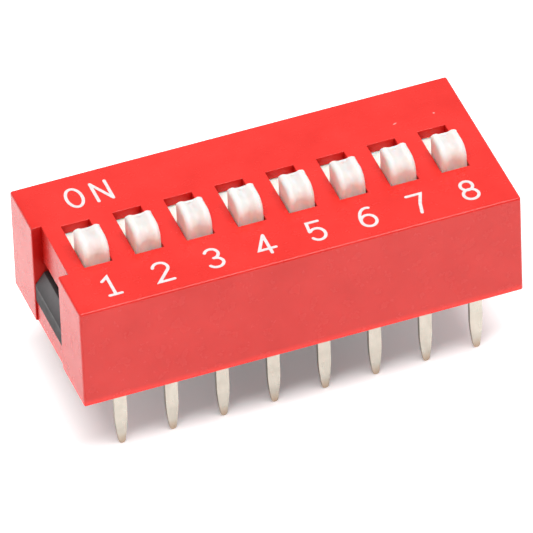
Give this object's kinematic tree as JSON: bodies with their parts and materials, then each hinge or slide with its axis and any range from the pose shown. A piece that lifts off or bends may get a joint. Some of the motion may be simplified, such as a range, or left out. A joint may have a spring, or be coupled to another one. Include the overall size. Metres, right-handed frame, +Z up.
{
  "type": "DIP switch",
  "caption": "Through-hole slide DIP switch with a red clipped cover, a black base, white slide levers and rows of tinned legs.",
  "frame": {"origin": "centre of the terminal grid on the seating plane, the underside of the body", "axes": "+X runs from position 1 to position 8, +Y points to the ON side, +Z points up away from the board"},
  "size_m": [0.022, 0.0098, 0.0103],
  "materials": {
    "cover_plastic": "satin moulded, glossy at grazing angles",
    "base_plastic": "matt moulded",
    "lever_plastic": "satin moulded nylon",
    "spring_metal": "rolled strip",
    "tinned_strip": "tin plated, satin",
    "white_print": "pad printed ink"
  },
  "bodies": {
    "housing": {"cover": "cover_plastic", "base": "base_plastic", "terminal_front_1": "tinned_strip", "terminal_front_2": "tinned_strip", "terminal_front_3": "tinned_strip", "terminal_front_4": "tinned_strip", "terminal_front_5": "tinned_strip", "terminal_front_6": "tinned_strip", "terminal_front_7": "tinned_strip", "terminal_front_8": "tinned_strip", "terminal_back_1": "tinned_strip", "terminal_back_2": "tinned_strip", "terminal_back_3": "tinned_strip", "terminal_back_4": "tinned_strip", "terminal_back_5": "tinned_strip", "terminal_back_6": "tinned_strip", "terminal_back_7": "tinned_strip", "terminal_back_8": "tinned_strip"},
    "slider_1": {"lever_1": "lever_plastic", "contact_spring_1": "spring_metal"},
    "slider_2": {"lever_2": "lever_plastic", "contact_spring_2": "spring_metal"},
    "slider_3": {"lever_3": "lever_plastic", "contact_spring_3": "spring_metal"},
    "slider_4": {"lever_4": "lever_plastic", "contact_spring_4": "spring_metal"},
    "slider_5": {"lever_5": "lever_plastic", "contact_spring_5": "spring_metal"},
    "slider_6": {"lever_6": "lever_plastic", "contact_spring_6": "spring_metal"},
    "slider_7": {"lever_7": "lever_plastic", "contact_spring_7": "spring_metal"},
    "slider_8": {"lever_8": "lever_plastic", "contact_spring_8": "spring_metal"}
  },
  "joints": [
    {"name": "slide_1", "type": "slide", "parent": "housing", "child": "slider_1", "axis": [0, 1, 0], "range_m": [0, 0.00155]},
    {"name": "slide_2", "type": "slide", "parent": "housing", "child": "slider_2", "axis": [0, 1, 0], "range_m": [0, 0.00155]},
    {"name": "slide_3", "type": "slide", "parent": "housing", "child": "slider_3", "axis": [0, 1, 0], "range_m": [0, 0.00155]},
    {"name": "slide_4", "type": "slide", "parent": "housing", "child": "slider_4", "axis": [0, 1, 0], "range_m": [0, 0.00155]},
    {"name": "slide_5", "type": "slide", "parent": "housing", "child": "slider_5", "axis": [0, 1, 0], "range_m": [0, 0.00155]},
    {"name": "slide_6", "type": "slide", "parent": "housing", "child": "slider_6", "axis": [0, 1, 0], "range_m": [0, 0.00155]},
    {"name": "slide_7", "type": "slide", "parent": "housing", "child": "slider_7", "axis": [0, 1, 0], "range_m": [0, 0.00155]},
    {"name": "slide_8", "type": "slide", "parent": "housing", "child": "slider_8", "axis": [0, 1, 0], "range_m": [0, 0.00155]}
  ]
}
